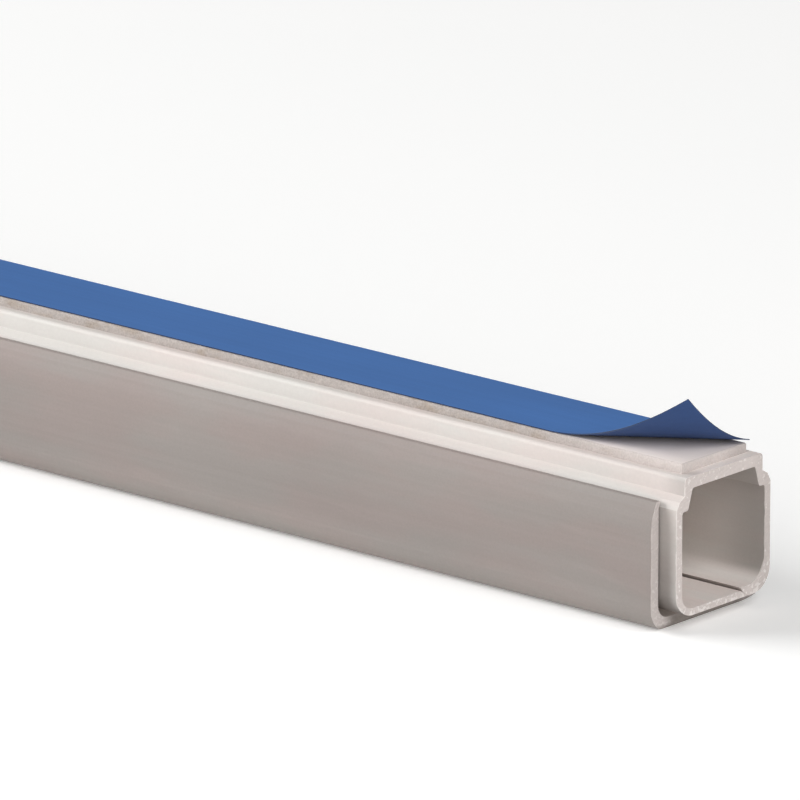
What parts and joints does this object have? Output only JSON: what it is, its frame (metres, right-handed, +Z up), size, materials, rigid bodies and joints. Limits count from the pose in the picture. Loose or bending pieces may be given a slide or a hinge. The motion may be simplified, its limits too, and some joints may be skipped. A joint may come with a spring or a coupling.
{
  "type": "cord cover raceway",
  "caption": "Two-piece snap-together cord raceway lying on its face, with a foam-taped back and its release film peeled up at one corner",
  "frame": {"origin": "middle of the stick's footprint, on the floor under the cover's face", "axes": "+X along the stick to the end with the peeled liner, +Y across it, +Z up out of the adhesive back"},
  "size_m": [0.4, 0.0204, 0.027],
  "materials": {
    "base": "satin extruded PVC, off-white",
    "cover": "satin extruded PVC, warm grey",
    "foam": "closed-cell foam tape with a tacky acrylic face, off-white",
    "liner": "thin blue polyethylene release film, low gloss"
  },
  "bodies": {
    "root": {"base_channel": "base", "snap_cover": "cover", "foam_tape": "foam", "release_liner": "liner"}
  },
  "joints": []
}
